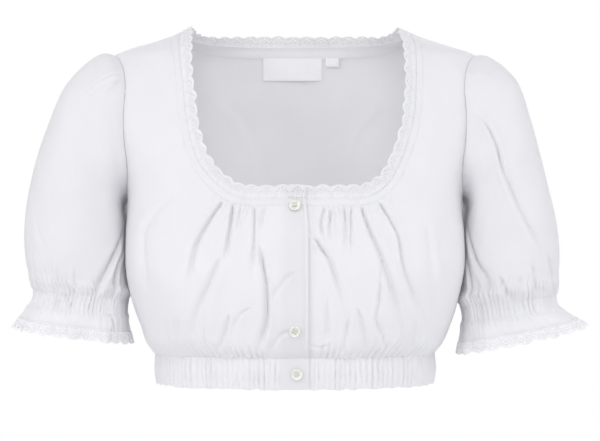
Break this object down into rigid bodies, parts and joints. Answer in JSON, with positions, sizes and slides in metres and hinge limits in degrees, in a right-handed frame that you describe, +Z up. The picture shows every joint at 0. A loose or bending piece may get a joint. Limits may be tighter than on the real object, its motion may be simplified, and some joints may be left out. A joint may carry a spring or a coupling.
{
  "type": "dirndl blouse",
  "caption": "Low-necked dirndl blouse with puff sleeves in ruffled cuffs, gathered fronts on an elastic band, eyelet lace edging and a buttoned front, hollow as worn.",
  "frame": {"origin": "midway between the two shoulder seams, at the height of the lace beside the neck, on the plane of the side seams", "axes": "+X to the wearer's left, +Y to the back, +Z up; the front faces -Y"},
  "size_m": [0.5732, 0.2413, 0.3571],
  "materials": {
    "cotton": "plain-weave cotton, white, matte",
    "lace": "eyelet lace, white, matte",
    "label": "woven satin tape, white, left bare",
    "pearl_button": "pearly white resin, polished"
  },
  "bodies": {
    "root": {"front_right": "cotton", "front_left": "cotton", "back": "cotton", "sleeve_right": "cotton", "sleeve_left": "cotton", "ruffle_lace_right": "lace", "ruffle_lace_left": "lace", "waistband_right": "cotton", "waistband_left": "cotton", "waistband_back": "cotton", "neck_lace": "lace", "neck_facing": "cotton", "label_main": "label", "label_size": "label", "button_top": "pearl_button", "button_middle": "pearl_button", "button_bottom": "pearl_button"}
  },
  "joints": []
}
